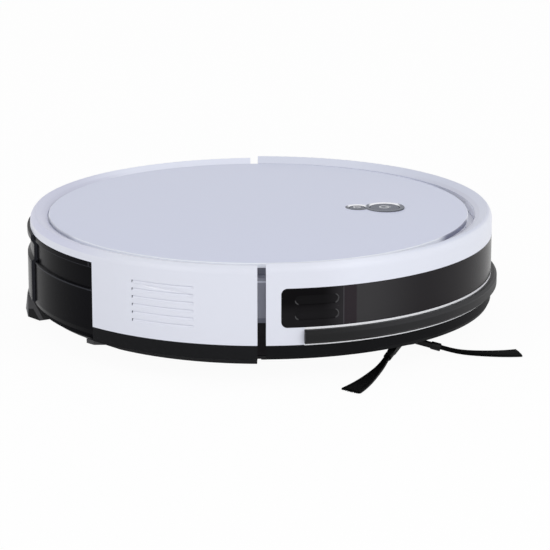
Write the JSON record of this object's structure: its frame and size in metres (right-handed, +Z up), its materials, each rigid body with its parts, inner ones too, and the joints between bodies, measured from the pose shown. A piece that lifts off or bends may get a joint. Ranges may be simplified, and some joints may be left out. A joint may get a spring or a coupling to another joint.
{
  "type": "robot vacuum",
  "caption": "Round flat robot vacuum: spring bumper with sensor window, rear dust bin, sprung drive wheels, caster, roller brush and side brushes.",
  "frame": {"origin": "On the floor, under the axis of the round body, midway between the drive wheels.", "axes": "+X forward, +Y to the left, +Z up."},
  "size_m": [0.3259, 0.3638, 0.077],
  "materials": {
    "body_white": "satin",
    "lid_white": "gloss",
    "pan_black": "satin",
    "window_smoke": "gloss",
    "insert_black": "gloss",
    "bump_rubber": "matt",
    "bin_smoke": "gloss",
    "bin_inner": "satin",
    "slider_grey": "satin",
    "runner_grey": "satin",
    "ring_chrome": "polished",
    "key_silver": "satin",
    "inner_black": "matt",
    "inner_grey": "matt",
    "filter_paper": "matt",
    "bristle_black": "matt",
    "blade_rubber": "matt",
    "motor_metal": "satin",
    "cell_wrap": "satin",
    "board_green": "satin",
    "screw_steel": "satin",
    "contact_steel": "polished",
    "tyre_rubber": "matt",
    "rim_grey": "satin",
    "caster_plastic": "satin"
  },
  "bodies": {
    "chassis": {"base_pan": "pan_black", "upper_shell": "body_white", "top_panel": "lid_white", "button_ring": "ring_chrome", "key_board": "board_green", "bumper_sensors": "inner_black", "bin_bay": "inner_black", "brush_housing": "inner_black", "brush_guard": "pan_black", "brush_motor": "motor_metal", "fan_housing": "inner_grey", "fan_motor": "motor_metal", "wheel_well_right": "inner_black", "wheel_well_left": "inner_black", "caster_socket": "inner_black", "side_motor_right": "motor_metal", "side_motor_left": "motor_metal", "battery_pack": "cell_wrap", "battery_cover": "pan_black", "chassis_screws": "screw_steel", "main_board": "board_green", "charge_contacts": "contact_steel", "cliff_windows": "window_smoke"},
    "bumper": {"bumper_shell": "body_white", "bumper_window": "window_smoke", "window_insert_right": "insert_black", "window_insert_left": "insert_black", "bumper_strip": "bump_rubber", "bumper_skirt": "pan_black"},
    "bin": {"bin_face": "bin_smoke", "bin_tub": "bin_inner", "bin_lid": "bin_inner", "filter_frame": "inner_grey", "filter_pleats": "filter_paper", "bin_runners": "runner_grey", "bin_skid": "slider_grey"},
    "bin_button": {"bin_button": "bin_smoke"},
    "main_brush": {"brush_core": "inner_black", "brush_bristles": "bristle_black", "brush_blades": "blade_rubber"},
    "impeller": {"impeller": "inner_grey"},
    "arm_right": {"wheel_arm_right": "inner_black"},
    "arm_left": {"wheel_arm_left": "inner_black"},
    "wheel_right": {"wheel_rim_right": "rim_grey", "tyre_right": "tyre_rubber"},
    "wheel_left": {"wheel_rim_left": "rim_grey", "tyre_left": "tyre_rubber"},
    "caster_fork": {"caster_fork": "caster_plastic"},
    "caster_wheel": {"caster_wheel": "caster_plastic"},
    "side_brush_right": {"side_hub_right": "inner_black", "side_tufts_right": "bristle_black"},
    "side_brush_left": {"side_hub_left": "inner_black", "side_tufts_left": "bristle_black"},
    "power_button": {"power_button": "key_silver"},
    "home_button": {"home_button": "key_silver"}
  },
  "joints": [
    {"name": "bumper_slide", "type": "slide", "parent": "chassis", "child": "bumper", "axis": [-1, 0, 0], "range_m": [0, 0.004], "stiffness_N_per_m": 900},
    {"name": "bin_pull", "type": "slide", "parent": "chassis", "child": "bin", "axis": [-1, 0, 0], "range_m": [0, 0.11]},
    {"name": "bin_button_press", "type": "slide", "parent": "bin", "child": "bin_button", "axis": [1, 0, 0], "range_m": [0, 0.0025], "stiffness_N_per_m": 1200},
    {"name": "power_press", "type": "slide", "parent": "chassis", "child": "power_button", "axis": [0, 0, -1], "range_m": [0, 0.0008], "stiffness_N_per_m": 1500},
    {"name": "home_press", "type": "slide", "parent": "chassis", "child": "home_button", "axis": [0, 0, -1], "range_m": [0, 0.0008], "stiffness_N_per_m": 1500},
    {"name": "main_brush_spin", "type": "hinge", "parent": "chassis", "child": "main_brush", "pos_m": [-0.045, 0, 0.022], "axis": [0, 1, 0], "continuous": true},
    {"name": "impeller_spin", "type": "hinge", "parent": "chassis", "child": "impeller", "pos_m": [-0.045, 0, 0.055], "axis": [0, 0, 1], "continuous": true},
    {"name": "caster_swivel", "type": "hinge", "parent": "chassis", "child": "caster_fork", "pos_m": [0.104, 0, 0.03], "axis": [0, 0, 1], "continuous": true},
    {"name": "caster_roll", "type": "hinge", "parent": "caster_fork", "child": "caster_wheel", "pos_m": [0.099, 0, 0.012], "axis": [0, 1, 0], "continuous": true},
    {"name": "arm_right_swing", "type": "hinge", "parent": "chassis", "child": "arm_right", "pos_m": [0.038, -0.0965, 0.036], "axis": [0, -1, 0], "range_deg": [0, 25], "stiffness_Nm_per_rad": 0.3, "springref_deg": 25},
    {"name": "wheel_right_spin", "type": "hinge", "parent": "arm_right", "child": "wheel_right", "pos_m": [0, -0.0965, 0.029], "axis": [0, 1, 0], "continuous": true},
    {"name": "side_brush_right_spin", "type": "hinge", "parent": "chassis", "child": "side_brush_right", "pos_m": [0.09002, -0.09654, 0.012], "axis": [0, 0, 1], "continuous": true, "deforming": ["side_tufts_right"]},
    {"name": "arm_left_swing", "type": "hinge", "parent": "chassis", "child": "arm_left", "pos_m": [0.038, 0.0965, 0.036], "axis": [0, -1, 0], "range_deg": [0, 25], "stiffness_Nm_per_rad": 0.3, "springref_deg": 25},
    {"name": "wheel_left_spin", "type": "hinge", "parent": "arm_left", "child": "wheel_left", "pos_m": [0, 0.0965, 0.029], "axis": [0, 1, 0], "continuous": true},
    {"name": "side_brush_left_spin", "type": "hinge", "parent": "chassis", "child": "side_brush_left", "pos_m": [0.09002, 0.09654, 0.012], "axis": [0, 0, 1], "continuous": true, "deforming": ["side_tufts_left"]}
  ]
}
